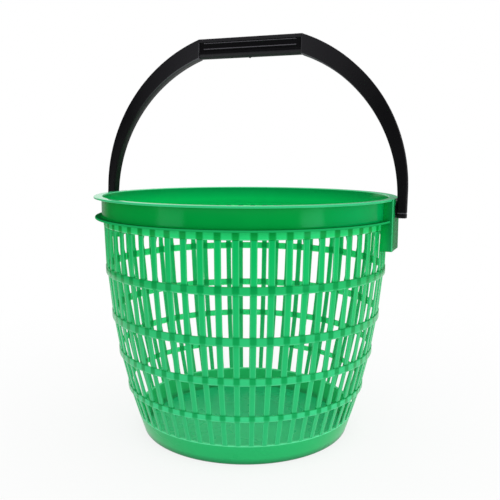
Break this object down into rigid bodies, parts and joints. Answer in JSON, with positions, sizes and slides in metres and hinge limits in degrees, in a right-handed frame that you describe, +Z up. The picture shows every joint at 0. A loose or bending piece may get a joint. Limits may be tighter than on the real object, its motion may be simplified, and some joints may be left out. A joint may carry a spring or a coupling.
{
  "type": "harvest basket",
  "caption": "Round tapered openwork garden basket of moulded plastic, with a flanged rim, a plain base and a swing handle that folds down onto the rim either way.",
  "frame": {"origin": "centre of the base, on the ground", "axes": "+Z up, +X along the handle's pivot axis towards the right-hand socket, +Y towards the back, where the handle leans at rest"},
  "size_m": [0.3526, 0.33, 0.4339],
  "materials": {
    "basket_plastic": "satin moulded polypropylene, bright green",
    "handle_plastic": "satin moulded polypropylene, black"
  },
  "bodies": {
    "basket": {"top_flange": "basket_plastic", "collar": "basket_plastic", "lower_flange": "basket_plastic", "hoop_1": "basket_plastic", "hoop_2": "basket_plastic", "hoop_3": "basket_plastic", "hoop_4": "basket_plastic", "hoop_5": "basket_plastic", "rib_tier_1": "basket_plastic", "rib_tier_2": "basket_plastic", "rib_tier_3": "basket_plastic", "rib_tier_4": "basket_plastic", "rib_tier_5": "basket_plastic", "base_wall": "basket_plastic", "foot_ring": "basket_plastic", "floor": "basket_plastic", "socket_left": "basket_plastic", "socket_right": "basket_plastic"},
    "handle": {"grip": "handle_plastic", "arm_left": "handle_plastic", "arm_right": "handle_plastic", "pivot_stud_left": "handle_plastic", "pivot_stud_right": "handle_plastic"}
  },
  "joints": [
    {"name": "handle_swing", "type": "hinge", "parent": "basket", "child": "handle", "pos_m": [0, 0, 0.252], "axis": [1, 0, 0], "range_deg": [-80, 88]}
  ]
}
